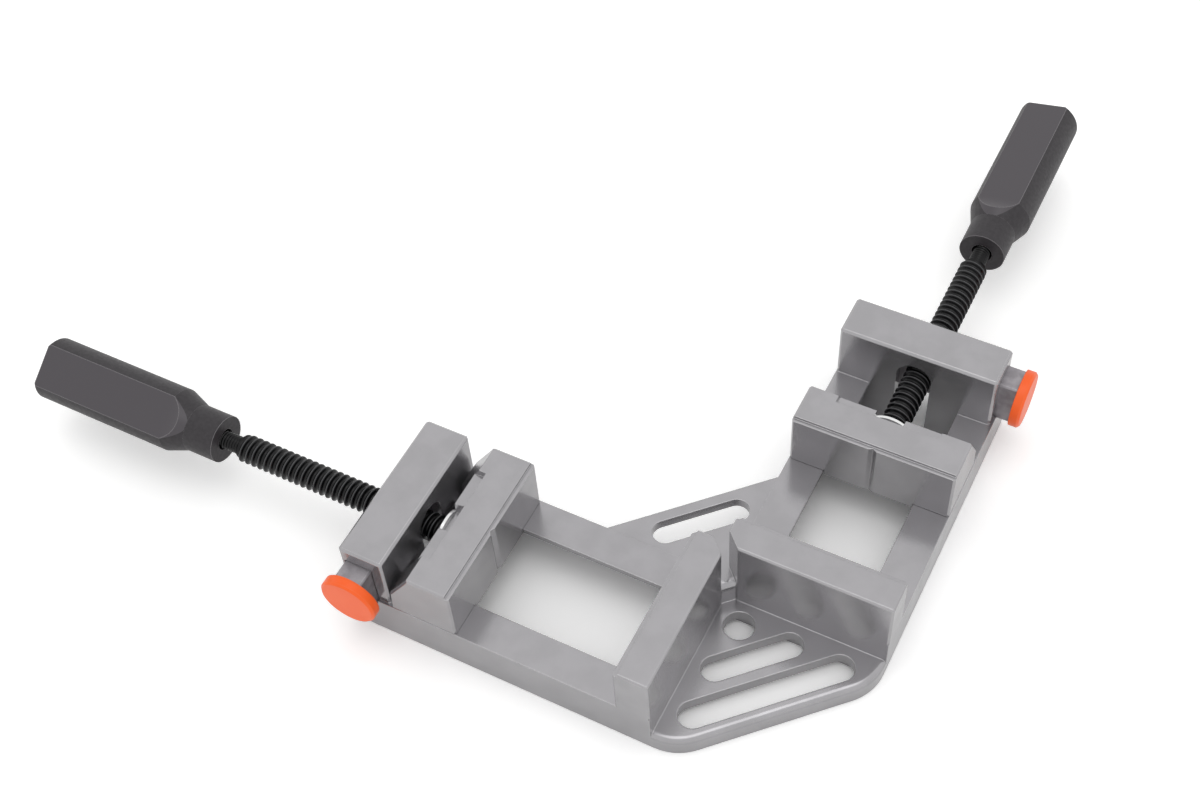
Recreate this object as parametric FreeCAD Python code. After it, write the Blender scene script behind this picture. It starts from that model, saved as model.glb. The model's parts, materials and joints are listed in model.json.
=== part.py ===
import FreeCAD, Part
import math
import os

# Corner clamp with two screw-driven jaws at right angles, all sizes in mm.
# Each arm is drawn in its own frame: a runs outward along the arm from the
# fixed clamping face, c runs sideways from the work corner, z is up.
# The origin is the work corner itself, taken down to the bench.

# Arms of the casting
rail_top = 21.0
rail_width = 15.0
flange_thick = 4.0
skirt_thick = 5.0
guide_chamfer = 1.5
arm_near = 13.0
arm_far = 81.5
jaw_room = 98.5

# Fixed jaws
fixed_depth = 14.3
fixed_top = 46.0
fixed_near = 12.5
lip_width = 1.8
lip_drop = 1.2
work_chamfer = 2.0
plate_chamfer = 6.5
edge_bevel = 0.7

# End blocks
block_depth = 19.3
block_top = 48.3
block_near_inset = 0.1
block_far_inset = 1.2
block_bevel = 1.0
block_slot_gap = 1.4
block_slot_lift = 3.0
block_slot_shift = 1.0

# Front plate
plate_top = 9.0
plate_thick = 5.5
plate_rim = 3.5
plate_diagonal = 106.0
plate_corner = 22.0
plate_round = 2.5
plate_lap = 9.0

# Rear web and the solid foot under the work corner
web_drop = 0.5
web_thick = 4.5
web_diagonal = 25.8
web_lap = 2.0
foot_reach = 3.0
nose_near = 14.2
nose_far = 18.3
nose_round = 3.5

# Holes of the plate and the web, each centred on the work diagonal
hole_place = 24.6
hole_radius = 6.25
short_slot_line = 69.6
short_slot_half = 15.3
short_slot_radius = 5.5
long_slot_line = 91.5
long_slot_half = 29.8
long_slot_radius = 5.75
web_slot_line = 12.2
web_slot_half = 15.1
web_slot_radius = 5.25

# Moving jaws
jaw_width = 68.2
jaw_top = 47.5
jaw_flat = 18.4
jaw_knee = 28.3
jaw_knee_height = 31.7
jaw_foot = 29.0
jaw_bevel = 0.8
jaw_lift = 0.2
vee_width = 3.4
vee_depth = 1.0
recess_width = 43.5
recess_front = 15.2
seat_face = 21.0
seat_slope_low = 43.5
seat_slope_high = 45.0
seat_notch_width = 12.2
seat_notch_low = 38.0
left_opening = 68.5
right_opening = 49.0

# Tongue and keeper that hold a jaw down on its rails
tongue_gap = 0.3
tongue_step = 2.3
tongue_start = 5.0
tongue_end = 27.0
keeper_width = 47.5
keeper_length = 20.0
keeper_thick = 4.0
keeper_gap = 0.2
keeper_screw_spread = 10.0
keeper_screw_radius = 2.0
keeper_screw_gap = 0.1
keeper_screw_length = 14.0
keeper_head_radius = 4.04
keeper_head_height = 2.8

# Spindles
screw_height = 30.5
thread_radius = 6.0
thread_length = 98.0
thread_chamfer = 1.0
journal_radius = 4.0
journal_length = 14.5
journal_gap = 0.08
groove_offset = 8.2
groove_width = 3.6
groove_radius = 3.0
shoulder_gap = 0.1
neck_radius = 3.8
neck_length = 8.3

# Washers and retaining pins
washer_radius = 10.2
washer_thick = 1.2
washer_gap = 0.3
washer_relief_gap = 0.5
pin_radius = 1.5
pin_gap = 0.05
pin_clear = 0.3
pin_above_axis = 6.0

# Handles
handle_length = 89.0
hub_radius = 10.1
hub_length = 14.0
hub_recess_gap = 0.8
hub_recess_depth = 4.0
cone_length = 9.5
body_radius = 13.6
flat_height = 10.0
flat_start = 25.0
flat_arc_radius = 20.0
flat_arc_angle = 36.0
end_chamfer = 0.6
handle_grip = 25.0
handle_bore_gap = 0.1
left_turn_angle = -33.0
right_turn_angle = -11.5

# Release bars, buttons and springs
bar_thick = 11.5
bar_height = 21.5
bar_behind_axis = 11.55
bar_offset = 1.6
bar_reach = 7.1
bar_slide_gap = 0.25
bar_edge = 0.6
bar_nut_gap = 0.05
bar_free_gap = 0.4
bar_free_near = 2.83
bar_free_far = 4.0
press_travel = 3.5
press_spare = 0.5
button_radius = 12.0
button_thick = 4.3
button_bevel = 0.9
button_spigot_side = 6.0
button_spigot_length = 3.0
button_spigot_gap = 0.1
spring_radius = 4.0
spring_wire = 1.0
spring_turns = 5
spring_sides = 10
spring_length = 13.7
spring_pocket_gap = 0.5

# Amount by which a cutting shape runs past the face it opens
past = 1.0

# Positions that follow from the sizes above
screw_axis = (arm_near + arm_far) / 2
window_near = arm_near + rail_width
window_far = arm_far - rail_width
flange_under = rail_top - flange_thick
block_near = arm_near + block_near_inset
block_far = arm_far - block_far_inset
bar_middle = jaw_room + block_depth / 2 + bar_offset
web_top = rail_top - web_drop
jaw_base = rail_top + jaw_lift
tongue_low = flange_under - keeper_gap
shoulder_place = seat_face + washer_thick + shoulder_gap
hub_place = shoulder_place + thread_length + neck_length
keeper_middle = (tongue_start + tongue_end) / 2
pin_offset = groove_radius + pin_clear + pin_radius
bar_near = screw_axis - bar_behind_axis
bar_far = block_far + bar_reach
pocket_near = bar_near - press_travel - press_spare
spring_near = bar_near - spring_length

ORIGIN = FreeCAD.Vector(0, 0, 0)
ALONG = FreeCAD.Vector(1, 0, 0)
ACROSS = FreeCAD.Vector(0, 1, 0)
UP = FreeCAD.Vector(0, 0, 1)


# Small helpers for solids

def vec(x, y, z):
    return FreeCAD.Vector(x, y, z)


def block(a0, a1, c0, c1, z0, z1):
    return Part.makeBox(a1 - a0, c1 - c0, z1 - z0, vec(a0, c0, z0))


def prism(points, push):
    ring = [vec(*p) for p in points]
    face = Part.Face(Part.makePolygon(ring + [ring[0]]))
    return face.extrude(push)


def plan_prism(points, z0, z1):
    return prism([(x, y, z0) for x, y in points], vec(0, 0, z1 - z0))


def side_prism(points, c0, c1):
    return prism([(a, c0, z) for a, z in points], vec(0, c1 - c0, 0))


def bar_along(radius, start, end, c=0.0, z=0.0):
    return Part.makeCylinder(radius, end - start, vec(start, c, z), ALONG)


def spun(points):
    ring = [vec(x, 0, r) for x, r in points]
    face = Part.Face(Part.makePolygon(ring + [ring[0]]))
    return face.revolve(ORIGIN, ALONG, 360)


def rounded(shape, radius, wanted):
    edges = [e for e in shape.Edges if wanted(e.BoundBox)]
    return shape.makeFillet(radius, edges)


def bevelled(shape, size, wanted):
    edges = [e for e in shape.Edges if wanted(e.BoundBox)]
    return shape.makeChamfer(size, edges)


def near(value, target):
    return abs(value - target) < 0.001


def joined(shapes):
    return shapes[0].multiFuse(shapes[1:]).removeSplitter()


def turned(shape, centre, axis, angle):
    copy = shape.copy()
    copy.rotate(centre, axis, angle)
    return copy


# Placing pieces of an arm on the left or on the right

def to_left(shape):
    return turned(shape, ORIGIN, UP, 180)


def to_right(shape):
    return shape.mirror(ORIGIN, vec(1, -1, 0))


def screw_to_left(shape):
    return to_left(moved(shape, 0, screw_axis, screw_height))


def screw_to_right(shape):
    return moved(turned(shape, ORIGIN, UP, 90), screw_axis, 0, screw_height)


def moved(shape, x, y, z):
    copy = shape.copy()
    copy.translate(vec(x, y, z))
    return copy


# Casting: two arms, two fixed jaws, two end blocks, plate, web and foot

def guide_undercut(edge, side):
    corner = edge + side * guide_chamfer
    points = [
        (edge, flange_under - past),
        (edge, flange_under + guide_chamfer),
        (corner, flange_under),
        (corner, flange_under - past),
    ]
    return prism([(0, c, z) for c, z in points], vec(jaw_room, 0, 0))


def arm_rails():
    outside = block(-fixed_depth, jaw_room + block_depth, arm_near, arm_far, 0, rail_top)
    inside_near = arm_near + skirt_thick
    inside_far = arm_far - skirt_thick
    hollow = block(0, jaw_room, inside_near, inside_far, -past, flange_under)
    window = block(0, jaw_room, window_near, window_far, 0, rail_top + past)
    cuts = [
        hollow,
        window,
        guide_undercut(window_near, -1),
        guide_undercut(window_far, 1),
    ]
    return outside.cut(cuts)


def is_fixed_edge(box):
    on_top = near(box.ZMin, fixed_top)
    on_end = near(box.YMin, arm_far) and near(box.YMax, arm_far)
    at_face = near(box.XMin, 0)
    return (on_top and not at_face) or (on_end and near(box.ZMax, fixed_top) and not on_top)


def fixed_jaw():
    body = block(-fixed_depth, 0, fixed_near, arm_far, 0, fixed_top)
    body = bevelled(body, edge_bevel, is_fixed_edge)
    lip = block(-lip_width, past, 0, arm_far + past, fixed_top - lip_drop, fixed_top + past)
    return body.cut(lip)


def end_block():
    body = block(jaw_room, jaw_room + block_depth, block_near, block_far, 0, block_top)
    return bevelled(body, block_bevel, lambda box: near(box.ZMax, block_top))


def corner_cuts():
    low = plate_top - plate_thick / 2
    high = fixed_top + past
    back = -fixed_depth - past
    edge = fixed_near - past
    work = [
        (past, edge),
        (past, fixed_near + work_chamfer + past),
        (-work_chamfer - past, edge),
    ]
    plate = [
        (back, edge),
        (back, fixed_near + plate_chamfer + past),
        (plate_chamfer + past - fixed_depth, edge),
    ]
    return [plan_prism(work, web_top, high), plan_prism(plate, low, high)]


def bar_pocket():
    half_thick = bar_thick / 2 + bar_slide_gap
    half_height = bar_height / 2 + bar_slide_gap
    a0 = bar_middle - half_thick
    a1 = bar_middle + half_thick
    z0 = screw_height - half_height
    z1 = screw_height + half_height
    return block(a0, a1, pocket_near, arm_far + past, z0, z1)


def spring_pocket():
    radius = spring_radius + spring_pocket_gap
    start = vec(bar_middle, spring_near, screw_height)
    return Part.makeCylinder(radius, pocket_near - spring_near, start, ACROSS)


def screw_slot():
    radius = thread_radius + block_slot_gap
    middle = screw_axis - block_slot_shift
    high = screw_height + block_slot_lift
    start = jaw_room - past
    end = jaw_room + block_depth + past
    arch = bar_along(radius, start, end, middle, high)
    legs = block(start, end, middle - radius, middle + radius, -past, high)
    return joined([arch, legs])


def arm_casting():
    body = joined([arm_rails(), fixed_jaw(), end_block()])
    cuts = corner_cuts() + [bar_pocket(), spring_pocket(), screw_slot()]
    return body.cut(cuts)


def plate_outline():
    corner = plate_diagonal - arm_far
    return [
        (plate_lap - fixed_depth, -arm_far),
        (-corner, -arm_far),
        (-arm_far, -corner),
        (-arm_far, plate_lap - fixed_depth),
        (plate_lap - fixed_depth, plate_lap - fixed_depth),
    ]


def is_plate_corner(box):
    corner = plate_diagonal - arm_far
    upright = box.ZLength > plate_top / 2
    at_left = near(box.XMin, -corner) and near(box.YMin, -arm_far)
    at_right = near(box.XMin, -arm_far) and near(box.YMin, -corner)
    return upright and (at_left or at_right)


def is_plate_rim(box):
    flat = near(box.ZMin, plate_top)
    inner = plate_lap - fixed_depth
    on_back = near(box.XMin, inner) or near(box.YMin, inner)
    return flat and not on_back


def front_plate():
    body = plan_prism(plate_outline(), 0, plate_top)
    body = rounded(body, plate_corner, is_plate_corner)
    rim = plate_hollow()
    body = rounded(body, plate_round, is_plate_rim)
    return body.cut(rim)


def plate_hollow():
    edge = plate_rim - arm_far
    back = -fixed_depth - plate_rim
    reach = plate_diagonal - plate_rim * math.sqrt(2)
    corner = -(reach - arm_far + plate_rim)
    points = [
        (back, edge),
        (corner, edge),
        (edge, corner),
        (edge, back),
        (back, back),
    ]
    body = plan_prism(points, -past, plate_top - plate_thick)
    return body


def rear_web():
    inside = arm_near + web_lap
    reach = web_diagonal + inside
    points = [
        (reach, -inside),
        (-inside, reach),
        (-inside, -inside),
    ]
    return plan_prism(points, web_top - web_thick, web_top)


def is_nose_edge(box):
    high = near(box.ZMin, web_top)
    at_nose = near(box.XMin, -nose_far) and near(box.YMin, -nose_far)
    return high and at_nose


def work_foot():
    reach = foot_reach + arm_near
    points = [
        (reach, -arm_near),
        (-arm_near, reach),
        (-nose_far, -nose_near),
        (-nose_near, -nose_far),
    ]
    body = plan_prism(points, 0, web_top)
    return rounded(body, nose_round, is_nose_edge)


def slot_cut(line, half, radius, z0, z1):
    step = half / math.sqrt(2)
    middle = line / 2
    first = Part.makeCylinder(radius, z1 - z0, vec(middle + step, middle - step, z0))
    last = Part.makeCylinder(radius, z1 - z0, vec(middle - step, middle + step, z0))
    side = radius / math.sqrt(2)
    points = [
        (middle + step + side, middle - step + side),
        (middle - step + side, middle + step + side),
        (middle - step - side, middle + step - side),
        (middle + step - side, middle - step - side),
    ]
    return joined([plan_prism(points, z0, z1), first, last])


def plate_holes():
    high = plate_top + past
    spot = vec(-hole_place, -hole_place, -past)
    hole = Part.makeCylinder(hole_radius, high + past, spot)
    short = slot_cut(-short_slot_line, short_slot_half, short_slot_radius, -past, high)
    long_one = slot_cut(-long_slot_line, long_slot_half, long_slot_radius, -past, high)
    web = slot_cut(web_slot_line, web_slot_half, web_slot_radius, 0, web_top + past)
    return [hole, short, long_one, web]


def mirrored_plan(shape):
    return shape.mirror(ORIGIN, ALONG)


def frame_casting():
    middle = [front_plate(), rear_web(), work_foot()]
    middle = [mirrored_plan(shape) for shape in middle]
    holes = [mirrored_plan(shape) for shape in plate_holes()]
    arm = arm_casting()
    body = joined([to_left(arm), to_right(arm)] + middle)
    return body.cut(holes)


# Moving jaw with its tongue, drawn with its clamping face at a = 0

def jaw_block():
    near_side = screw_axis - jaw_width / 2
    far_side = screw_axis + jaw_width / 2
    points = [
        (0, jaw_base),
        (0, jaw_top),
        (jaw_flat, jaw_top),
        (jaw_knee, jaw_knee_height),
        (jaw_foot, jaw_base),
    ]
    body = side_prism(points, near_side, far_side)

    def is_end_edge(box):
        on_side = near(box.YMin, near_side) or near(box.YMax, far_side)
        return on_side and box.YLength < past and box.ZMax > jaw_base + past

    return bevelled(body, jaw_bevel, is_end_edge)


def jaw_tongue():
    half = (window_far - window_near) / 2 - tongue_gap
    c0 = screw_axis - half
    c1 = screw_axis + half
    step = rail_top - tongue_step
    upper = block(0, tongue_end, c0, c1, step, jaw_base + past)
    lower = block(tongue_start, tongue_end, c0, c1, tongue_low, jaw_base)
    return [upper, lower]


def jaw_recess():
    c0 = screw_axis - recess_width / 2
    c1 = screw_axis + recess_width / 2
    points = [
        (recess_front, jaw_top + past),
        (recess_front, seat_slope_high),
        (seat_face, seat_slope_low),
        (seat_face, jaw_base),
        (jaw_foot + past, jaw_base),
        (jaw_foot + past, jaw_top + past),
    ]
    return side_prism(points, c0, c1)


def seat_notch():
    c0 = screw_axis - seat_notch_width / 2
    c1 = screw_axis + seat_notch_width / 2
    return block(recess_front, seat_face + past, c0, c1, seat_notch_low, jaw_top + past)


def washer_relief():
    radius = washer_radius + washer_relief_gap
    return bar_along(radius, seat_face, tongue_end + past, screw_axis, screw_height)


def jaw_lip_cut():
    c0 = screw_axis - jaw_width
    c1 = screw_axis + jaw_width
    return block(-past, lip_width, c0, c1, jaw_top - lip_drop, jaw_top + past)


def jaw_vee():
    half = vee_width / 2
    low = rail_top - tongue_step - past
    points = [
        (-past, screw_axis - half),
        (0, screw_axis - half),
        (vee_depth, screw_axis),
        (0, screw_axis + half),
        (-past, screw_axis + half),
    ]
    return plan_prism(points, low, jaw_top + past)


def journal_bore():
    end = seat_face - journal_length - shoulder_gap
    return bar_along(journal_radius + journal_gap, end, seat_face + past, screw_axis, screw_height)


def pin_hole():
    place = vec(pin_place(), screw_axis + pin_offset, tongue_low - past)
    high = screw_height + pin_above_axis
    return Part.makeCylinder(pin_radius + pin_gap, high - tongue_low + past, place)


def pin_place():
    return shoulder_place - groove_offset - groove_width / 2


def keeper_screw_spots():
    return [screw_axis - keeper_screw_spread, screw_axis + keeper_screw_spread]


def keeper_screw_holes(z0, z1):
    radius = keeper_screw_radius + keeper_screw_gap
    return [
        Part.makeCylinder(radius, z1 - z0, vec(keeper_middle, c, z0))
        for c in keeper_screw_spots()
    ]


def screw_tip():
    return tongue_low - keeper_thick + keeper_screw_length


def moving_jaw():
    body = joined([jaw_block()] + jaw_tongue())
    cuts = [jaw_recess(), seat_notch(), washer_relief(), jaw_lip_cut(), jaw_vee()]
    cuts = cuts + [journal_bore(), pin_hole()]
    cuts = cuts + keeper_screw_holes(tongue_low - past, screw_tip() + keeper_screw_gap)
    return body.cut(cuts)


def keeper_plate():
    low = tongue_low - keeper_thick
    a0 = keeper_middle - keeper_length / 2
    a1 = keeper_middle + keeper_length / 2
    c0 = screw_axis - keeper_width / 2
    c1 = screw_axis + keeper_width / 2
    body = block(a0, a1, c0, c1, low, tongue_low)
    return body.cut(keeper_screw_holes(low - past, tongue_low + past))


def hexagon(radius, x, y):
    corners = []
    for k in range(6):
        turn = math.radians(60 * k)
        corners.append((x + radius * math.cos(turn), y + radius * math.sin(turn)))
    return corners


def keeper_screw(c):
    under = tongue_low - keeper_thick
    low = under - keeper_head_height
    head = plan_prism(hexagon(keeper_head_radius, keeper_middle, c), low, under)
    shank = Part.makeCylinder(keeper_screw_radius, screw_tip() - under, vec(keeper_middle, c, under))
    return joined([head, shank])


def keeper_screws():
    return Part.makeCompound([keeper_screw(c) for c in keeper_screw_spots()])


def retaining_pin():
    place = vec(pin_place(), screw_axis + pin_offset, tongue_low)
    high = screw_height + pin_above_axis
    return Part.makeCylinder(pin_radius, high - tongue_low, place)


# Pieces that turn about the screw, drawn on the X axis from the jaw face

def spindle():
    start = shoulder_place
    tip = start - journal_length
    groove = start - groove_offset
    end = start + thread_length
    points = [
        (tip, 0),
        (tip, journal_radius - end_chamfer),
        (tip + end_chamfer, journal_radius),
        (groove - groove_width, journal_radius),
        (groove - groove_width, groove_radius),
        (groove, groove_radius),
        (groove, journal_radius),
        (start, journal_radius),
        (start, thread_radius - thread_chamfer),
        (start + thread_chamfer, thread_radius),
        (end - thread_chamfer, thread_radius),
        (end, thread_radius - thread_chamfer),
        (end, neck_radius),
        (end + neck_length + handle_grip, neck_radius),
        (end + neck_length + handle_grip, 0),
    ]
    return spun(points)


def thrust_washer():
    inner = journal_radius + washer_gap
    points = [
        (seat_face, inner),
        (seat_face, washer_radius),
        (seat_face + washer_thick, washer_radius),
        (seat_face + washer_thick, inner),
    ]
    return spun(points)


def handle_form():
    bore = neck_radius + handle_bore_gap
    recess = neck_radius + hub_recess_gap
    points = [
        (hub_recess_depth, bore),
        (hub_recess_depth, recess),
        (0, recess),
        (0, hub_radius),
        (hub_length, hub_radius),
        (hub_length + cone_length, body_radius),
        (handle_length - end_chamfer, body_radius),
        (handle_length, body_radius - end_chamfer),
        (handle_length, 0),
        (handle_grip, 0),
        (handle_grip, bore),
    ]
    return spun(points)


def flat_cut(side):
    turn = math.radians(flat_arc_angle)
    centre = flat_height + flat_arc_radius
    outer = body_radius + flat_arc_radius

    def on_arc(angle):
        x = flat_start - flat_arc_radius * math.sin(angle)
        z = centre - flat_arc_radius * math.cos(angle)
        return vec(x, -outer, side * z)

    first = on_arc(0)
    last = on_arc(turn)
    high = vec(last.x, -outer, side * outer)
    far_high = vec(handle_length + past, -outer, side * outer)
    far_low = vec(handle_length + past, -outer, side * flat_height)
    arc = Part.Arc(first, on_arc(turn / 2), last).toShape()
    line = Part.makePolygon([last, high, far_high, far_low, first])
    face = Part.Face(Part.Wire([arc] + line.Edges))
    return face.extrude(vec(0, 2 * outer, 0))


def handle(turn):
    body = handle_form().cut([flat_cut(1), flat_cut(-1)])
    body = turned(body, ORIGIN, ALONG, turn)
    return moved(body, hub_place, 0, 0)


# Release bar, button and spring, drawn on the arm frame

def nut_hole():
    half = bar_thick / 2 + past
    a0 = bar_middle - half
    a1 = bar_middle + half
    free = thread_radius + bar_free_gap
    near_c = screw_axis + bar_free_near
    far_c = screw_axis + bar_free_far
    return joined([
        bar_along(thread_radius + bar_nut_gap, a0, a1, screw_axis, screw_height),
        bar_along(free, a0, a1, near_c, screw_height),
        bar_along(free, a0, a1, far_c, screw_height),
        block(a0, a1, near_c, far_c, screw_height - free, screw_height + free),
    ])


def release_bar():
    half_thick = bar_thick / 2
    half_height = bar_height / 2
    a0 = bar_middle - half_thick
    a1 = bar_middle + half_thick
    z0 = screw_height - half_height
    z1 = screw_height + half_height
    body = block(a0, a1, bar_near, bar_far, z0, z1)
    long_edges = [e for e in body.Edges if e.BoundBox.YLength > bar_height]
    body = body.makeChamfer(bar_edge, long_edges)
    return body.cut([nut_hole(), button_spigot(button_spigot_gap, bar_far + past)])


def button_spigot(gap, end):
    half = button_spigot_side / 2 + gap
    start = bar_far - button_spigot_length - gap
    z0 = screw_height - half
    z1 = screw_height + half
    return block(bar_middle - half, bar_middle + half, start, end, z0, z1)


def release_button():
    start = vec(bar_middle, bar_far, screw_height)
    disc = Part.makeCylinder(button_radius, button_thick, start, ACROSS)
    outer = bar_far + button_thick
    disc = bevelled(disc, button_bevel, lambda box: near(box.YMin, outer))
    return joined([disc, button_spigot(0, bar_far + button_thick / 2)])


def release_spring():
    rings = spring_rings()
    faces = [flat_face(rings[0]), flat_face(rings[-1])]
    for first, second in zip(rings, rings[1:]):
        for k in range(len(first)):
            faces.extend(spring_side(first, second, k))
    coil = Part.Solid(Part.Shell(faces))
    coil = turned(coil, ORIGIN, ALONG, -90)
    return moved(coil, bar_middle, spring_near, screw_height)


def spring_rings():
    steps = spring_turns * spring_sides
    rise = (spring_length - spring_wire) / steps
    return [spring_ring(360 / spring_sides * k, rise * k) for k in range(steps + 1)]


def spring_ring(angle, low):
    x = math.cos(math.radians(angle))
    y = math.sin(math.radians(angle))
    inner = spring_radius - spring_wire
    high = low + spring_wire
    return [
        vec(inner * x, inner * y, low),
        vec(spring_radius * x, spring_radius * y, low),
        vec(spring_radius * x, spring_radius * y, high),
        vec(inner * x, inner * y, high),
    ]


def flat_face(corners):
    return Part.Face(Part.makePolygon(corners + [corners[0]]))


def spring_side(first, second, k):
    here = [first[k], first[k - 1]]
    there = [second[k], second[k - 1]]
    if k % 2 == 0:
        return [flat_face([here[0], there[0], there[1], here[1]])]
    return [
        flat_face([here[0], there[0], there[1]]),
        flat_face([here[0], there[1], here[1]]),
    ]


# All nodes, each written to a file of its own

def turning_pieces(turn):
    return {"spindle": spindle(), "handle": handle(turn), "thrust_washer": thrust_washer()}


def sliding_pieces():
    return {
        "moving_jaw": moving_jaw(),
        "keeper_plate": keeper_plate(),
        "keeper_screws": keeper_screws(),
        "retaining_pin": retaining_pin(),
    }


def release_pieces():
    return {
        "release_bar": release_bar(),
        "release_button": release_button(),
        "release_spring": release_spring(),
    }


def arm_nodes(side, opening, turn, to_side, screw_to_side):
    nodes = {}
    for name, shape in turning_pieces(turn).items():
        nodes[side + "_" + name] = screw_to_side(moved(shape, opening, 0, 0))
    for name, shape in sliding_pieces().items():
        nodes[side + "_" + name] = to_side(moved(shape, opening, 0, 0))
    for name, shape in release_pieces().items():
        nodes[side + "_" + name] = to_side(shape)
    return nodes


def write_nodes():
    os.makedirs("parts", exist_ok=True)
    nodes = {"frame": frame_casting()}
    nodes.update(arm_nodes("left", left_opening, left_turn_angle, to_left, screw_to_left))
    nodes.update(arm_nodes("right", right_opening, right_turn_angle, to_right, screw_to_right))
    for name in sorted(nodes):
        nodes[name].exportStep("parts/" + name + ".step")


write_nodes()
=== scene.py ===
"""Corner clamp with two screw-driven jaws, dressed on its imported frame.

The casting, jaws, handles and small parts keep their CAD meshes and get one finish each. The two
screws are modelled here with real threads and stand for their CAD nodes. A pale studio and the
photograph's camera close the script. Sizes of the clamp are in mm, and MM turns them into metres;
sizes of finishes and of the studio are in metres.
"""

import json
import logging
import math
from dataclasses import dataclass, field, replace
from enum import Enum

import bpy
from mathutils import Matrix, Vector


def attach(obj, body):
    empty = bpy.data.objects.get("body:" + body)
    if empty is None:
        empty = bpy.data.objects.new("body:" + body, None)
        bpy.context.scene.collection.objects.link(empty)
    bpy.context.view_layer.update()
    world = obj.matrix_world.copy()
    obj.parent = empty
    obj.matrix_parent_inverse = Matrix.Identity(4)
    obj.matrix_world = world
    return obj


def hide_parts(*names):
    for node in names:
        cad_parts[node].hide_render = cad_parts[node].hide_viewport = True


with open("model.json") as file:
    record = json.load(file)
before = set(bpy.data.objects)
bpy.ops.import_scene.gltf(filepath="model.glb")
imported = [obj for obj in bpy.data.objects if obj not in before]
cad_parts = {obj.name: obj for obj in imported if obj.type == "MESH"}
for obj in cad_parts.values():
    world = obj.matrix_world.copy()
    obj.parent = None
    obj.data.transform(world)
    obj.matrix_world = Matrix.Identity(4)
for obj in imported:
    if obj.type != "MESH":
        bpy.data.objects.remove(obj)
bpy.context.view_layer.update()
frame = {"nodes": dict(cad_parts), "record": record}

LOG = logging.getLogger("corner_clamp")
MM = 0.001

SCREW_HEIGHT = 30.5  # of both screw axes above the bench, in mm
HUB_END = 142.7  # end of the handle's round hub, from the jaw's face, in mm
FLAT_BAND = (9.85, 9.97)  # distance from the axis where the painted sheen of a flat sets in, in mm
CREST_BAND = (5.70, 5.92)  # radius where the painted highlight of the thread's crests sets in, in mm

Colour = tuple[float, float, float]
Outline = list[tuple[float, float]]
Given = float | tuple[float, ...] | bpy.types.NodeSocket


# Hand tools: selecting, drawing lines and finishing meshes


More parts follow.
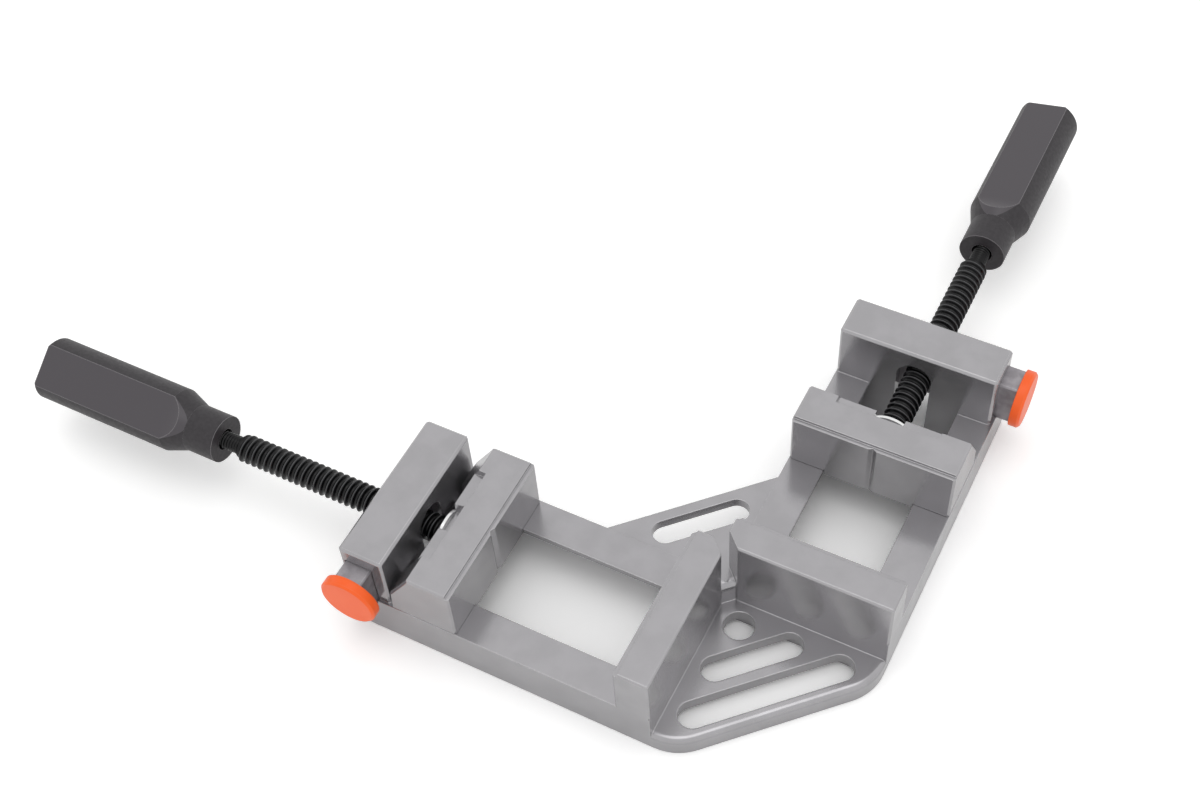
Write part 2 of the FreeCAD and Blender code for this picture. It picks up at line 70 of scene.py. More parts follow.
class Bench:
    """Common moves of modelling by hand, each on a clean selection.

    Attributes:
        SEED: Side of the small plane that becomes a line's first point, in mm.
        CUT_TOUCH: Points nearer to a cut than this lie on it, in mm.
    """

    SEED = 1.0
    CUT_TOUCH = 0.0001

    @staticmethod
    def clear() -> None:
        """Leaves edit mode and deselects everything."""
        if bpy.context.mode != "OBJECT":
            bpy.ops.object.mode_set(mode="OBJECT")
        bpy.ops.object.select_all(action="DESELECT")

    @staticmethod
    def pick(piece: bpy.types.Object) -> None:
        """Selects one piece alone and makes it active.

        Args:
            piece: The object to work on.
        """
        Bench.clear()
        piece.select_set(True)
        bpy.context.view_layer.objects.active = piece

    @staticmethod
    def open(piece: bpy.types.Object) -> None:
        """Opens one piece in edit mode with its whole mesh selected.

        Args:
            piece: The object to edit.
        """
        Bench.pick(piece)
        bpy.ops.object.mode_set(mode="EDIT")
        bpy.ops.mesh.select_all(action="SELECT")

    @staticmethod
    def line(name: str, outline: Outline) -> bpy.types.Object:
        """Draws an open line by extruding one point again and again.

        Args:
            name: Name of the new piece.
            outline: Corners of the line, along the X axis and out from it, in mm.

        Returns:
            The new piece, in object mode.
        """
        points = [(x * MM, 0.0, out * MM) for x, out in outline]
        Bench.clear()
        bpy.ops.mesh.primitive_plane_add(size=Bench.SEED * MM, location=points[0])
        piece = bpy.context.active_object
        piece.name = name
        bpy.ops.object.transform_apply(location=True, rotation=True, scale=True)
        Bench.open(piece)
        bpy.ops.mesh.merge(type="CENTER")
        for here, there in zip(points, points[1:]):
            step = Vector(there) - Vector(here)
            bpy.ops.mesh.extrude_vertices_move(TRANSFORM_OT_translate={"value": step})
        bpy.ops.object.mode_set(mode="OBJECT")
        return piece

    @staticmethod
    def spin(piece: bpy.types.Object, steps: int, seam: float) -> None:
        """Spins a drawn line round the X axis into a closed skin.

        Args:
            piece: The piece that holds the line.
            steps: Number of facets round the axis.
            seam: Points nearer than this become one where the skin closes, in mm.
        """
        Bench.open(piece)
        bpy.ops.mesh.spin(steps=steps, angle=2 * math.pi, center=(0, 0, 0), axis=(1, 0, 0))
        Bench.merge(piece, seam)
        Bench.face_out(piece)

    @staticmethod
    def merge(piece: bpy.types.Object, distance: float) -> None:
        """Merges points that lie on each other.

        Args:
            piece: The piece to clean.
            distance: Points nearer than this become one, in mm.
        """
        Bench.open(piece)
        bpy.ops.mesh.remove_doubles(threshold=distance * MM)
        bpy.ops.object.mode_set(mode="OBJECT")

    @staticmethod
    def face_out(piece: bpy.types.Object) -> None:
        """Turns all faces of a piece outwards.

        Args:
            piece: The piece, with its doubles merged.
        """
        Bench.open(piece)
        bpy.ops.mesh.normals_make_consistent(inside=False)
        bpy.ops.object.mode_set(mode="OBJECT")

    @staticmethod
    def trim(piece: bpy.types.Object, x: float, keep_above: bool) -> None:
        """Cuts a skin square across the X axis and caps the cut.

        Args:
            piece: The piece to cut.
            x: Place of the cut, in mm.
            keep_above: True keeps what lies beyond x, False what lies before it.
        """
        Bench.open(piece)
        bpy.ops.mesh.bisect(
            plane_co=(x * MM, 0, 0),
            plane_no=(1, 0, 0),
            use_fill=True,
            clear_inner=keep_above,
            clear_outer=not keep_above,
            threshold=Bench.CUT_TOUCH * MM,
        )
        bpy.ops.object.mode_set(mode="OBJECT")

    @staticmethod
    def join(name: str, pieces: list[bpy.types.Object]) -> bpy.types.Object:
        """Joins pieces into the first one.

        Args:
            name: Name of the joined piece.
            pieces: The pieces, the first of which stays.

        Returns:
            The joined piece.
        """
        Bench.clear()
        for piece in pieces:
            piece.select_set(True)
        bpy.context.view_layer.objects.active = pieces[0]
        bpy.ops.object.join()
        pieces[0].name = name
        return pieces[0]

    @staticmethod
    def place(piece: bpy.types.Object, matrix: Matrix) -> None:
        """Moves the mesh itself by a matrix, so that the object stays at the origin."""
        piece.data.transform(matrix)
        piece.data.update()

    @staticmethod
    def smooth(piece: bpy.types.Object, degrees: float) -> None:
        """Shades a piece smooth, and crisp where its faces meet at more than the degrees."""
        Bench.pick(piece)
        bpy.ops.object.shade_smooth_by_angle(angle=math.radians(degrees))


@dataclass(frozen=True)
class ArmPlan:
    """Where one arm and its screw lie.

    Attributes:
        prefix: Start of the names of this arm's nodes and bodies.
        turn: Turn of the arm about Z, in degrees.
        middle: Where the screw axis meets the fixed jaw's face, seen from above, in mm.
        opening: Distance from the fixed jaw to the moving one, in mm.
        flat_turn: Turn of the handle's flats about the screw, in degrees.
    """

    prefix: str
    turn: float
    middle: tuple[float, float]
    opening: float
    flat_turn: float

    def matrix(self) -> Matrix:
        """Takes a piece drawn along X, with the moving jaw's face at 0, to this arm.

        Returns:
            The matrix for the mesh.
        """
        to_face = Matrix.Translation((self.opening * MM, 0, 0))
        turned = Matrix.Rotation(math.radians(self.turn), 4, "Z")
        x, y = self.middle
        return Matrix.Translation((x * MM, y * MM, SCREW_HEIGHT * MM)) @ turned @ to_face

    def flat_normal(self) -> Vector:
        """Gives the direction square to the handle's two flats."""
        angle = math.radians(self.flat_turn)
        return self.matrix().to_3x3() @ Vector((0.0, math.sin(angle), math.cos(angle)))


class Arm(Enum):
    """The two arms of the clamp."""

    LEFT = ArmPlan("left", 180.0, (0.0, -47.25), 68.5, 33.0)
    RIGHT = ArmPlan("right", 90.0, (47.25, 0.0), 49.0, 11.5)


# Node trees, and the groups that the finishes share

GRAIN_SCALE = 2500.0  # of the fine grain, per metre
MOTTLE_SCALE = 60.0  # of the broad patches, per metre
MOTTLE_BAND = (0.3, 0.7)  # noise values between which shade turns into base
EDGE_RADIUS = 0.0005  # of a rounded edge, in metres
EDGE_LOW, EDGE_HIGH = 0.01, 0.12  # sharpness of a corner for no painted highlight and for the full one


class MixKind(Enum):
    """What a mix node mixes."""

    NUMBER = "FLOAT"
    COLOUR = "RGBA"


class ScrewMask(Enum):
    """The masks that follow the screw axes."""

    FLAT = "Flat"
    CREST = "Crest"


class Nodes:
    """Small helper that adds and links nodes in one tree."""

    def __init__(self, tree: bpy.types.NodeTree) -> None:
        """Starts on the node tree to fill."""
        self.tree = tree

    def add(
        self, kind: str, given: dict[str | int, Given] | None = None, **values: object
    ) -> bpy.types.Node:
        """Adds a node, sets its properties and then fills its inputs.

        Args:
            kind: The node's type name.
            given: Inputs by name or number, each a plain value or a socket to link.
            values: Properties such as operation or data_type.

        Returns:
            The new node.
        """
        node = self.tree.nodes.new(kind)
        for name, value in values.items():
            setattr(node, name, value)
        for name, value in (given or {}).items():
            if isinstance(value, bpy.types.NodeSocket):
                self.link(value, node.inputs[name])
            else:
                node.inputs[name].default_value = value
        return node

    def link(self, start: bpy.types.NodeSocket, end: bpy.types.NodeSocket) -> None:
        """Links an output to an input."""
        self.tree.links.new(start, end)

    def number(self, operation: str, *terms: Given) -> bpy.types.NodeSocket:
        """Adds a sum on numbers, each plain or a socket, and gives its output."""
        node = self.add("ShaderNodeMath", dict(enumerate(terms)), operation=operation)
        return node.outputs["Value"]

    def vector(self, operation: str, *terms: Given) -> bpy.types.Node:
        """Adds a sum on vectors, each plain or a socket, and gives its node."""
        return self.add("ShaderNodeVectorMath", dict(enumerate(terms)), operation=operation)

    def mix(self, kind: MixKind, factor: Given, low: Given, high: Given) -> bpy.types.NodeSocket:
        """Adds a mix of two numbers or colours, low at factor 0 and high at 1."""
        given = {"Factor": factor, "A": low, "B": high}
        return self.add("ShaderNodeMix", given, data_type=kind.value).outputs["Result"]

    def ramp(self, value: Given, low: float, high: float) -> bpy.types.NodeSocket:
        """Adds a smooth step.

        Args:
            value: The value to read.
            low: Where the step starts.
            high: Where the step ends.

        Returns:
            An output that runs from 0 to 1.
        """
        given = {"Value": value, "From Min": low, "From Max": high}
        node = self.add("ShaderNodeMapRange", given, interpolation_type="SMOOTHSTEP")
        return node.outputs["Result"]


def start_group(name: str, inputs: dict[str, float], outputs: dict[str, str]) -> Nodes:
    """Starts a shader node group with named sockets.

    Args:
        name: The group's name.
        inputs: Names and default values of its numbers.
        outputs: Names and socket types of what it puts out.

    Returns:
        The helper for the group's own tree.
    """
    tree = bpy.data.node_groups.new(name, "ShaderNodeTree")
    for label, value in inputs.items():
        socket = tree.interface.new_socket(label, in_out="INPUT", socket_type="NodeSocketFloat")
        socket.default_value = value
    for label, kind in outputs.items():
        tree.interface.new_socket(label, in_out="OUTPUT", socket_type=kind)
    return Nodes(tree)


def grain_group() -> bpy.types.NodeTree:
    """Builds the fine grain of cast metal and moulded plastic.

    Returns:
        A group that puts out a Height and a Mottle value.
    """
    work = start_group(
        "FineGrain",
        {"Grain Scale": GRAIN_SCALE, "Mottle Scale": MOTTLE_SCALE},
        {"Height": "NodeSocketFloat", "Mottle": "NodeSocketFloat"},
    )
    asked = work.add("NodeGroupInput").outputs
    place = work.add("ShaderNodeTexCoord").outputs["Object"]
    fine, broad = (
        work.add("ShaderNodeTexNoise", {"Vector": place, "Scale": scale, "Detail": detail})
        for scale, detail in ((asked["Grain Scale"], 2.0), (asked["Mottle Scale"], 3.0))
    )
    mottle = work.ramp(broad.outputs["Fac"], *MOTTLE_BAND)
    work.add("NodeGroupOutput", {"Height": fine.outputs["Fac"], "Mottle": mottle})
    return work.tree


def edge_group() -> bpy.types.NodeTree:
    """Builds the rounded normal of a hard corner and the mask of the painted highlight along it.

    Returns:
        A group that puts out a rounded Normal and an Edge mask, where the painted highlight goes.
    """
    work = start_group(
        "RoundedEdge",
        {"Radius": EDGE_RADIUS, "Low": EDGE_LOW, "High": EDGE_HIGH},
        {"Normal": "NodeSocketVector", "Edge": "NodeSocketFloat"},
    )
    asked = work.add("NodeGroupInput").outputs
    rounded = work.add("ShaderNodeBevel", {"Radius": asked["Radius"]}, samples=6).outputs["Normal"]
    plain = work.add("ShaderNodeNewGeometry").outputs["Normal"]
    alike = work.vector("DOT_PRODUCT", rounded, plain).outputs["Value"]
    mask = work.add(
        "ShaderNodeMapRange",
        {
            "Value": work.number("SUBTRACT", 1.0, alike),
            "From Min": asked["Low"],
            "From Max": asked["High"],
        },
    )
    work.add("NodeGroupOutput", {"Normal": rounded, "Edge": mask.outputs["Result"]})
    return work.tree


def read_axis(
    work: Nodes, place: bpy.types.NodeSocket, plan: ArmPlan
) -> tuple[bpy.types.NodeSocket, ...]:
    """Reads where a point lies on one arm's screw.

    Args:
        work: The tree to add to.
        place: The point.
        plan: The arm.

    Returns:
        The point's distance from the plane midway between the flats, its distance along the
        screw from the jaw's face, and its radius, in metres.
    """
    to_arm = plan.matrix()
    axis = tuple(to_arm.to_3x3() @ Vector((1.0, 0.0, 0.0)))
    off = work.vector("SUBTRACT", place, tuple(to_arm.translation)).outputs["Vector"]
    side = work.vector("DOT_PRODUCT", off, tuple(plan.flat_normal())).outputs["Value"]
    along = work.vector("DOT_PRODUCT", off, axis).outputs["Value"]
    around = work.vector("CROSS_PRODUCT", off, axis).outputs["Vector"]
    radius = work.vector("LENGTH", around).outputs["Value"]
    return work.number("ABSOLUTE", side), along, radius


def screw_group() -> bpy.types.NodeTree:
    """Builds the masks that follow the two screw axes, where the painted sheen goes.

    Returns:
        A group that puts out Flat, 1 on the handles' flats, and Crest, 1 on the threads' crests.
    """
    flat, crest = ScrewMask.FLAT.value, ScrewMask.CREST.value
    work = start_group("ScrewMasks", {}, {flat: "NodeSocketFloat", crest: "NodeSocketFloat"})
    place = work.add("ShaderNodeTexCoord").outputs["Object"]
    away = work.add("ShaderNodeSeparateXYZ", {"Vector": place}).outputs["Y"]
    on_right = work.number("GREATER_THAN", away, 0.0)
    left = read_axis(work, place, Arm.LEFT.value)
    right = read_axis(work, place, Arm.RIGHT.value)
    side, along, radius = (
        work.mix(MixKind.NUMBER, on_right, one, other) for one, other in zip(left, right)
    )
    past_hub = work.number("GREATER_THAN", along, HUB_END * MM)
    on_flat = work.ramp(side, *(distance * MM for distance in FLAT_BAND))
    on_crest = work.ramp(radius, *(distance * MM for distance in CREST_BAND))
    handle_flat = work.number("MULTIPLY", on_flat, past_hub)
    work.add("NodeGroupOutput", {flat: handle_flat, crest: on_crest})
    return work.tree


@dataclass(frozen=True)
class SharedGroups:
    """The node groups that the finishes share, each built once.

    Attributes:
        grain: Fine grain and broad mottle.
        edge: Rounded normal and the mask of the painted edge highlight.
        screw: Masks along the screws, for the painted sheen.
    """

    grain: bpy.types.NodeTree = field(default_factory=grain_group)
    edge: bpy.types.NodeTree = field(default_factory=edge_group)
    screw: bpy.types.NodeTree = field(default_factory=screw_group)


# Finishes


@dataclass(frozen=True)
class PaintedSheen:
    """A painted sheen: a lighter tone of a finish, shown where a screw mask is 1, painted on for
    the light that the handles' flats and the threads' crests catch.

    Attributes:
        mask: The mask that it follows.
        colour: The painted lighter tone, linear.
        rough: Its roughness.
    """

    mask: ScrewMask
    colour: Colour
    rough: float


@dataclass(frozen=True)
class Finish:
    """One finish: its colours, gloss, grain and the painted highlights along its edges.

    Attributes:
        name: Name of the material.
        base: Colour of the plain surface, linear.
        shade: Colour in the darker patches of the mottle, linear.
        edge: Colour of the painted highlight along the rounded edges, linear.
        metallic: 1 for bare metal, 0 for plastic.
        rough: Roughness of the plain surface.
        rough_change: How far the mottle changes the roughness.
        edge_highlight_share: How far the painted edge highlight shows, from 0 to 1.
        edge_radius: Radius of the rounded edge, in metres.
        edge_high: How sharp a corner must be for the full painted highlight.
        grain_scale: Scale of the fine grain, per metre.
        grain_depth: Depth of the fine grain, in metres.
        mottle_scale: Scale of the broad patches, per metre.
        specular: Strength of the plastic's or oxide's shine.
        painted_sheen: A lighter painted tone along the screws, where the finish has one.
    """

    name: str
    base: Colour
    shade: Colour
    edge: Colour
    metallic: float
    rough: float
    rough_change: float = 0.06
    edge_highlight_share: float = 0.6
    edge_radius: float = EDGE_RADIUS
    edge_high: float = EDGE_HIGH
    grain_scale: float = GRAIN_SCALE
    grain_depth: float = 0.00002
    mottle_scale: float = MOTTLE_SCALE
    specular: float = 0.5
    painted_sheen: PaintedSheen | None = None

    def material(self, groups: SharedGroups) -> bpy.types.Material:
        """Builds the procedural material.

        Args:
            groups: The shared node groups.

        Returns:
            The finished material.
        """
        material = bpy.data.materials.new(self.name)
        material.use_nodes = True
        work = Nodes(material.node_tree)
        surface = work.tree.nodes["Principled BSDF"].inputs
        surface["Metallic"].default_value = self.metallic
        surface["Specular IOR Level"].default_value = self.specular
        asked = {"Grain Scale": self.grain_scale, "Mottle Scale": self.mottle_scale}
        grain = work.add("ShaderNodeGroup", asked, node_tree=groups.grain).outputs
        # rounded normal, and the mask of the painted edge highlight
        asked = {"Radius": self.edge_radius, "High": self.edge_high}
        highlight_rim = work.add("ShaderNodeGroup", asked, node_tree=groups.edge).outputs
        mask = None
        # mask of the painted sheen along the screws
        if self.painted_sheen:
            masks = work.add("ShaderNodeGroup", node_tree=groups.screw).outputs
            mask = masks[self.painted_sheen.mask.value]
        work.link(self.colour(work, grain["Mottle"], highlight_rim["Edge"], mask), surface["Base Color"])
        work.link(self.gloss(work, grain["Mottle"], mask), surface["Roughness"])
        relief = {"Distance": self.grain_depth, "Height": grain["Height"], "Normal": highlight_rim["Normal"]}
        bump = work.add("ShaderNodeBump", relief)
        work.link(bump.outputs["Normal"], surface["Normal"])
        return material

    def colour(
        self,
        work: Nodes,
        mottle: bpy.types.NodeSocket,
        highlight_rim: bpy.types.NodeSocket,
        mask: bpy.types.NodeSocket | None,
    ) -> bpy.types.NodeSocket:
        """Lays the mottle, the painted sheen along the screws and the painted highlights along the
        edges over each other.

        Args:
            work: The material's tree.
            mottle: The broad patches.
            highlight_rim: The mask of the edges, where the painted highlight goes.
            mask: The painted sheen's mask, or None without one.

        Returns:
            The colour's output.
        """
        shown = work.mix(MixKind.COLOUR, mottle, (*self.shade, 1.0), (*self.base, 1.0))
        # painted sheen: lighter flats and crests, where light would catch them
        if mask:
            shown = work.mix(MixKind.COLOUR, mask, shown, (*self.painted_sheen.colour, 1.0))
        # painted highlight along the rounded edges, lighter than the surface
        share = work.number("MULTIPLY", highlight_rim, self.edge_highlight_share)
        return work.mix(MixKind.COLOUR, share, shown, (*self.edge, 1.0))

    def gloss(
        self, work: Nodes, mottle: bpy.types.NodeSocket, mask: bpy.types.NodeSocket | None
    ) -> bpy.types.NodeSocket:
        """Varies the roughness with the mottle and the painted sheen's mask.

        Args:
            work: The material's tree.
            mottle: The broad patches.
            mask: The painted sheen's mask, or None without one.

        Returns:
            The roughness's output.
        """
        dull, bright = self.rough + self.rough_change, self.rough - self.rough_change
        spread = work.add("ShaderNodeMapRange", {"Value": mottle, "To Min": dull, "To Max": bright})
        shown = spread.outputs["Result"]
        if mask:
            shown = work.mix(MixKind.NUMBER, mask, shown, self.painted_sheen.rough)
        return shown


def grey(level: float) -> Colour:
    """Gives a neutral colour of one level."""
    return (level, level, level)


# Each finish's edge colour is a painted highlight along its rounded edges.
CAST_METAL = Finish(
    "CastMetalSatin",
    base=(0.408, 0.40, 0.414),
    shade=(0.375, 0.368, 0.38),
    edge=(0.58, 0.575, 0.58),
    metallic=0.8,
    rough=0.20,
    rough_change=0.02,
    edge_highlight_share=0.5,
    edge_radius=0.0006,
    grain_scale=2600.0,
    grain_depth=0.000012,
    mottle_scale=90.0,
)

JAW_METAL = replace(
    CAST_METAL, name="JawCastingSatin", edge=(0.60, 0.595, 0.60), edge_radius=0.0005
)

RELEASE_METAL = Finish(
    "RoughReleaseMetal",
    base=(0.36, 0.34, 0.36),
    shade=(0.27, 0.255, 0.27),
    edge=(0.6, 0.58, 0.6),
    metallic=0.8,
    rough=0.42,
    rough_change=0.05,
    edge_highlight_share=0.5,
    edge_radius=0.0004,
    grain_scale=1400.0,
    grain_depth=0.00005,
    mottle_scale=220.0,
)

THREAD_OXIDE = Finish(
    "BlackOxideThread",
    base=(0.003, 0.003, 0.0035),
    shade=(0.002, 0.002, 0.0025),
    edge=(0.02, 0.02, 0.022),
    metallic=0.0,
    rough=0.16,
    rough_change=0.04,
    edge_highlight_share=0.3,
    edge_radius=0.0002,
    grain_scale=4000.0,
    grain_depth=0.000003,
    mottle_scale=120.0,
    specular=0.28,
    # painted highlight: the thread's crests a lighter tone than its black roots
    painted_sheen=PaintedSheen(ScrewMask.CREST, (0.06, 0.06, 0.063), 0.2),
)

HANDLE_PLASTIC = Finish(
    "CharcoalPlastic",
    base=(0.042, 0.038, 0.042),
    shade=(0.034, 0.031, 0.034),
    edge=(0.26, 0.25, 0.26),
    metallic=0.0,
    rough=0.46,
    rough_change=0.04,
    edge_highlight_share=0.8,
    edge_high=0.05,
    grain_scale=2200.0,
    grain_depth=0.00003,
    mottle_scale=700.0,
    specular=0.3,
    # painted sheen: the flats a lighter tone than the rounded bands, for the light they catch
    painted_sheen=PaintedSheen(ScrewMask.FLAT, (0.078, 0.071, 0.079), 0.3),
)

BUTTON_PLASTIC = Finish(
    "OrangePlastic",
    base=(1.0, 0.135, 0.018),
    shade=(0.97, 0.12, 0.015),
    edge=(1.0, 0.28, 0.12),
    metallic=0.0,
    rough=0.34,
    rough_change=0.03,
    edge_highlight_share=0.3,
    edge_radius=0.0008,
    grain_scale=3000.0,
    grain_depth=0.000008,
    specular=0.35,
)

WASHER_STEEL = Finish(
    "BrightWasher",
    base=grey(0.86),
    shade=grey(0.78),
    edge=grey(0.95),
    metallic=1.0,
    rough=0.18,
    rough_change=0.03,
    edge_highlight_share=0.5,
    edge_radius=0.0002,
)

KEEPER_STEEL = Finish(
    "KeeperSteel", (0.36, 0.36, 0.37), (0.30, 0.30, 0.31), grey(0.6), metallic=1.0, rough=0.4
)
BOLT_STEEL = Finish(
    "BoltSteel", (0.26, 0.26, 0.27), (0.2, 0.2, 0.21), grey(0.5), metallic=1.0, rough=0.35
)
PIN_STEEL = Finish("PinSteel", grey(0.5), grey(0.45), grey(0.7), metallic=1.0, rough=0.3)
SPRING_STEEL = Finish("SpringSteel", grey(0.55), grey(0.5), grey(0.7), metallic=1.0, rough=0.3)


@dataclass
class FinishBook:
    """All finishes of the clamp.

    Attributes:
        finishes: The finishes by the record's material slot.
    """

    finishes: dict[str, Finish] = field(default_factory=lambda: {
        "casting": CAST_METAL,
        "jaw_casting": JAW_METAL,
        "keeper_steel": KEEPER_STEEL,
        "screw_steel": BOLT_STEEL,
        "spindle_steel": THREAD_OXIDE,
        "washer_steel": WASHER_STEEL,
        "pin_steel": PIN_STEEL,
        "handle_plastic": HANDLE_PLASTIC,
        "release_metal": RELEASE_METAL,
        "button_plastic": BUTTON_PLASTIC,
        "spring_steel": SPRING_STEEL,
    })

    def dress(self) -> dict[str, bpy.types.Material]:
        """Builds the materials and gives each CAD node its own.

        Returns:
            The materials by slot.
        """
        groups = SharedGroups()
        made = {slot: finish.material(groups) for slot, finish in self.finishes.items()}
        for part in frame["record"]["subparts"]:
            for place in frame["nodes"][part["node"]].material_slots:
                place.material = made[part["material_slot"]]
            LOG.info("dressed node %s in %s", part["node"], part["material_slot"])
        return made


# Screws


@dataclass(frozen=True)
class Thread:
    """One thread of a screw, sizes in mm, places from the jaw's face.

    Attributes:
        turn: Outline of one turn, in shares of the pitch and of the depth.
        pitch: Distance from crest to crest.
        crest: Radius of the crests.
        root: Radius of the roots.
        start: Its start.
        end: Its end.
        spare_turns: Turns wound beyond both ends, to be trimmed off.
        weld: Points nearer than this become one where turn meets turn.
    """

    turn: tuple[tuple[float, float], ...]
    pitch: float
    crest: float
    root: float
    start: float
    end: float
    spare_turns: int = 3
    weld: float = 0.002

    def wind(self, name: str, facets: int) -> bpy.types.Object:
        """Winds one turn's outline into a thread and trims its ends square.

        Args:
            name: Name of the piece.
            facets: Facets round one turn.

        Returns:
            The closed thread, along the X axis.
        """
        depth = self.crest - self.root
        begin = self.start - self.pitch
        outline = [(begin + x * self.pitch, self.root + depth * h) for x, h in self.turn]
        piece = Bench.line(name, outline)
        winding = piece.modifiers.new("Winding", "SCREW")
        winding.axis = "X"
        winding.angle = 2 * math.pi
        winding.screw_offset = -self.pitch * MM
        turns = math.ceil((self.end - self.start) / self.pitch)
        winding.iterations = turns + self.spare_turns
        winding.steps = winding.render_steps = facets
        winding.use_smooth_shade = True
        Bench.pick(piece)
        bpy.ops.object.modifier_apply(modifier="Winding")
        low = min(v.co.x for v in piece.data.vertices)
        Bench.place(piece, Matrix.Translation(((begin - self.pitch) * MM - low, 0, 0)))
        Bench.merge(piece, self.weld)
        Bench.trim(piece, self.start, True)
        Bench.trim(piece, self.end, False)
        return piece

    def lead_in(self, piece: bpy.types.Object, tip: float, length: float) -> None:
        """Turns both ends of the thread down to a short cone.

        Args:
            piece: The thread.
            tip: Radius at the very end, in mm.
            length: Length of the cone, in mm.
        """
        for v in piece.data.vertices:
            away = min(v.co.x - self.start * MM, self.end * MM - v.co.x) / MM
            limit = (tip + max(away, 0.0) * (self.crest - tip) / length) * MM
            radius = math.hypot(v.co.y, v.co.z)
            if radius > limit and away < length:
                v.co.y *= limit / radius
                v.co.z *= limit / radius
        piece.data.update()


COARSE_TURN = (
    (0.0, 0.0), (0.16, 0.0), (0.24, 0.06), (0.32, 0.28), (0.40, 0.62), (0.48, 0.88), (0.54, 0.98),
    (0.58, 1.0), (0.62, 0.98), (0.68, 0.88), (0.76, 0.62), (0.84, 0.28), (0.92, 0.06), (1.0, 0.0),
)
FINE_TURN = (
    (0.0, 0.0), (0.2, 0.1), (0.45, 0.9), (0.55, 1.0), (0.65, 0.9), (0.9, 0.1), (1.0, 0.0),
)
NECK_LAP = 0.8  # how far the neck's thread starts inside the coarse one, in mm

COARSE_THREAD = Thread(COARSE_TURN, pitch=3.0, crest=6.0, root=4.65, start=22.3, end=120.3)
NECK_THREAD = Thread(
    FINE_TURN, pitch=1.25, crest=3.8, root=3.35, start=COARSE_THREAD.end - NECK_LAP, end=132.2
)


@dataclass
class Spindle:
    """One screw: journal, coarse thread and finely threaded neck, sizes in mm.

    Places along the screw are measured from the face of the jaw that it drives.

    Attributes:
        plan: The arm that it runs in.
        coarse: The thread that runs in the release bar.
        neck: The fine thread that enters the handle.
        lead: Length of the cone at each end of the coarse thread.
        lead_drop: How far the cones' tips lie below its roots.
        tip: Near end of the journal, inside the jaw.
        tip_chamfer: Chamfer of the tip.
        journal: Radius of the journal.
        groove_end: Far side of the groove for the retaining pin.
        groove_width: Width of that groove.
        groove_root: Radius in that groove.
        shoulder: Depth of the step from journal to shank, inside the coarse thread.
        shank: Radius of the plain shank inside the threads and the handle.
        shank_end: Its end inside the handle.
        crown: Height of the shank's nearly flat end.
        facets: Facets round one turn.
        seam: Points nearer than this become one where the core closes.
        crisp: Faces that meet at more than this keep a crisp edge, in degrees.
    """

    plan: ArmPlan
    coarse: Thread = COARSE_THREAD
    neck: Thread = NECK_THREAD
    lead: float = 1.6
    lead_drop: float = 0.2
    tip: float = 7.8
    tip_chamfer: float = 0.6
    journal: float = 4.0
    groove_end: float = 14.1
    groove_width: float = 3.6
    groove_root: float = 3.0
    shoulder: float = 0.4
    shank: float = 3.3
    shank_end: float = 153.5
    crown: float = 0.1
    facets: int = 44
    seam: float = 0.005
    crisp: float = 50.0

    def core(self) -> bpy.types.Object:
        """Spins the plain journal, its groove and the shank inside the handle.

        Returns:
            The closed core, along the X axis.
        """
        groove_start = self.groove_end - self.groove_width
        step = self.coarse.start + self.shoulder
        outline = [
            (self.tip, 0.0),
            (self.tip, self.journal - self.tip_chamfer),
            (self.tip + self.tip_chamfer, self.journal),
            (groove_start, self.journal),
            (groove_start, self.groove_root),
            (self.groove_end, self.groove_root),
            (self.groove_end, self.journal),
            (step, self.journal),
            (step + self.shoulder, self.shank),
            (self.shank_end, self.shank),
            (self.shank_end + self.crown, 0.0),
        ]
        piece = Bench.line(self.plan.prefix + "_spindle_core", outline)
        Bench.spin(piece, self.facets, self.seam)
        return piece

    def build(self, material: bpy.types.Material) -> bpy.types.Object:
        """Builds the whole screw and lets it stand for the CAD node.

        Args:
            material: The screw's finish.

        Returns:
            The finished screw.
        """
        name = self.plan.prefix + "_threaded_spindle"
        thread = self.coarse.wind(name, self.facets)
        self.coarse.lead_in(thread, self.coarse.root - self.lead_drop, self.lead)
        neck = self.neck.wind(name + "_neck", self.facets)
        piece = Bench.join(name, [thread, neck, self.core()])
        Bench.face_out(piece)
        Bench.place(piece, self.plan.matrix())
        Bench.smooth(piece, self.crisp)
        piece.data.materials.clear()
        piece.data.materials.append(material)
        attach(piece, self.plan.prefix + "_screw")
        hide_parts(self.plan.prefix + "_spindle")
        LOG.info("built %s with %d faces", name, len(piece.data.polygons))
        return piece


# Light, floor and camera


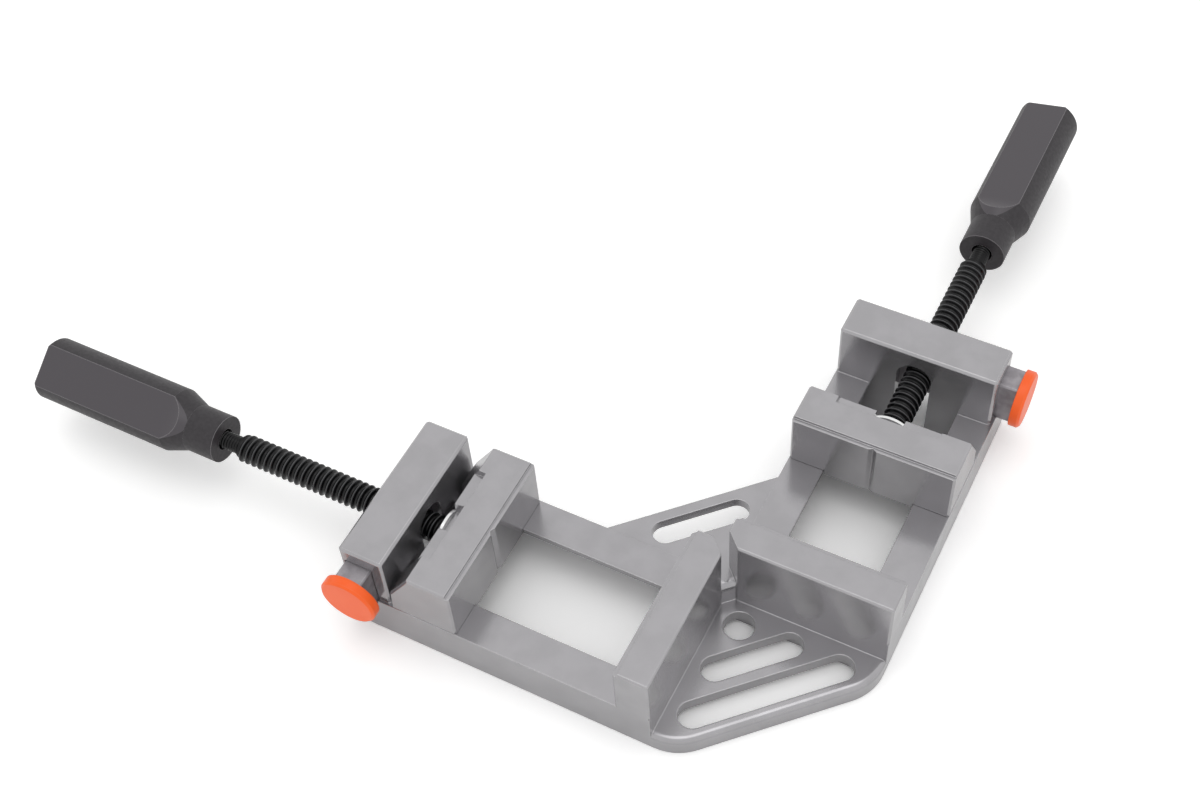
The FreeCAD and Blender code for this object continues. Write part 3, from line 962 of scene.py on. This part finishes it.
@dataclass
class Studio:
    """Pale floor, soft light and the photograph's camera, in metres and degrees.

    Attributes:
        place: The camera's place.
        yaw: Turn of the camera about Z.
        elevation: Height of the camera above the horizon.
        roll: Tilt of the picture.
        lens: Focal length, in mm.
        sensor: Width of the sensor, in mm.
        near_and_far: The nearest and the farthest that the camera sees.
        paper: Colour of the floor, linear.
        floor_size: Side of the floor.
        floor_drop: How far the floor lies below the clamp.
        eye_lift: Extra paleness of the floor as the camera sees it.
        mirror_lift: Extra paleness of the floor as metal mirrors it.
        sky_light: Strength of the surround as light.
        sky_seen: Strength of the surround to the eye and in reflections.
        lamp_place: Place of the lamp.
        lamp_aim: The spot that the lamp looks at.
        lamp_size: Side of the lamp.
        lamp_power: Its power, in watts.
    """

    place: tuple[float, float, float] = (0.1600, -0.3350, 0.6043)
    yaw: float = 31.39
    elevation: float = 52.86
    roll: float = -5.06
    lens: float = 52.29
    sensor: float = 36.0
    near_and_far: tuple[float, float] = (0.01, 100.0)
    paper: Colour = (0.93, 0.93, 0.925)
    floor_size: float = 30.0
    floor_drop: float = 0.0001
    eye_lift: float = 0.34
    mirror_lift: float = 0.05
    sky_light: float = 0.85
    sky_seen: float = 1.0
    lamp_place: tuple[float, float, float] = (0.05, -0.05, 2.0)
    lamp_aim: tuple[float, float, float] = (-0.07, 0.05, 0.0)
    lamp_size: float = 1.4
    lamp_power: float = 6.5

    def camera(self) -> None:
        """Sets the camera at the photograph's place."""
        y, e, r = (math.radians(a) for a in (self.yaw, self.elevation, self.roll))
        back = Vector((math.sin(y) * math.cos(e), -math.cos(y) * math.cos(e), math.sin(e)))
        right = (-back).cross(Vector((0, 0, 1))).normalized()
        up = right.cross(-back)
        across = right * math.cos(r) + up * math.sin(r)
        above = up * math.cos(r) - right * math.sin(r)
        turn = Matrix((across, above, back)).transposed().to_4x4()
        Bench.clear()
        bpy.ops.object.camera_add(location=self.place)
        camera = bpy.context.active_object
        camera.matrix_world = Matrix.Translation(self.place) @ turn
        camera.data.sensor_width = self.sensor
        camera.data.lens = self.lens
        camera.data.clip_start, camera.data.clip_end = self.near_and_far
        bpy.context.scene.camera = camera

    def floor(self) -> None:
        """Lays the pale floor just under the clamp."""
        Bench.clear()
        bpy.ops.mesh.primitive_plane_add(size=self.floor_size, location=(0, 0, -self.floor_drop))
        floor = bpy.context.active_object
        floor.name = "studio_floor"
        floor.data.materials.append(self.floor_paper())

    def floor_paper(self) -> bpy.types.Material:
        """Makes the floor's paper, a little brighter to the eye than to the object.

        Returns:
            The floor's material.
        """
        material = bpy.data.materials.new("PaleFloor")
        material.use_nodes = True
        work = Nodes(material.node_tree)
        shader = work.tree.nodes["Principled BSDF"]
        shader.inputs["Base Color"].default_value = (*self.paper, 1.0)
        shader.inputs["Roughness"].default_value = 1.0
        shader.inputs["Specular IOR Level"].default_value = 0.0
        ray = work.add("ShaderNodeLightPath").outputs
        mirrored = work.number("MAXIMUM", ray["Is Glossy Ray"], ray["Is Transmission Ray"])
        level = work.number("MULTIPLY", mirrored, self.mirror_lift)
        level = work.number("MULTIPLY_ADD", ray["Is Camera Ray"], self.eye_lift, level)
        lift = work.add("ShaderNodeCombineColor", {"Red": level, "Green": level, "Blue": level})
        extra = work.add("ShaderNodeBsdfDiffuse", {"Color": lift.outputs["Color"]})
        layers = {0: shader.outputs["BSDF"], 1: extra.outputs["BSDF"]}
        both = work.add("ShaderNodeAddShader", layers)
        work.link(both.outputs["Shader"], work.tree.nodes["Material Output"].inputs["Surface"])
        return material

    def sky(self) -> None:
        """Sets a soft white surround, white to the eye and in reflections."""
        world = bpy.data.worlds.new("StudioWorld")
        bpy.context.scene.world = world
        world.use_nodes = True
        work = Nodes(world.node_tree)
        surround = work.tree.nodes["Background"].inputs
        surround["Color"].default_value = (1.0, 1.0, 1.0, 1.0)
        ray = work.add("ShaderNodeLightPath").outputs
        direct = work.number("MAXIMUM", ray["Is Camera Ray"], ray["Is Glossy Ray"])
        seen = work.number("MAXIMUM", direct, ray["Is Transmission Ray"])
        given = {"Value": seen, "To Min": self.sky_light, "To Max": self.sky_seen}
        level = work.add("ShaderNodeMapRange", given)
        work.link(level.outputs["Result"], surround["Strength"])

    def lamp(self) -> None:
        """Hangs one soft square lamp over the clamp."""
        Bench.clear()
        bpy.ops.object.light_add(type="AREA", location=self.lamp_place)
        lamp = bpy.context.active_object
        lamp.name = "lamp_overhead"
        lamp.data.size = self.lamp_size
        lamp.data.energy = self.lamp_power
        aim = Vector(self.lamp_aim) - Vector(self.lamp_place)
        lamp.rotation_mode = "QUATERNION"
        lamp.rotation_quaternion = aim.to_track_quat("-Z", "Y")

    def build(self) -> None:
        """Sets up everything round the clamp."""
        bpy.context.scene.view_settings.view_transform = "Standard"
        self.camera()
        self.floor()
        self.sky()
        self.lamp()
        LOG.info("studio set up")


def plain(box: tuple[Vector, Vector]) -> list[list[float]]:
    """Turns a box into plain lists of numbers."""
    return [[float(c) for c in corner] for corner in box]


def main() -> None:
    """Builds the clamp's looks on its frame, then the studio."""
    logging.basicConfig(level=logging.INFO, format="%(name)s: %(message)s")
    made = FinishBook().dress()
    for arm in Arm:
        Spindle(arm.value).build(made["spindle_steel"])
    Studio().build()
    LOG.info("sizes written")


if __name__ == "__main__":
    main()
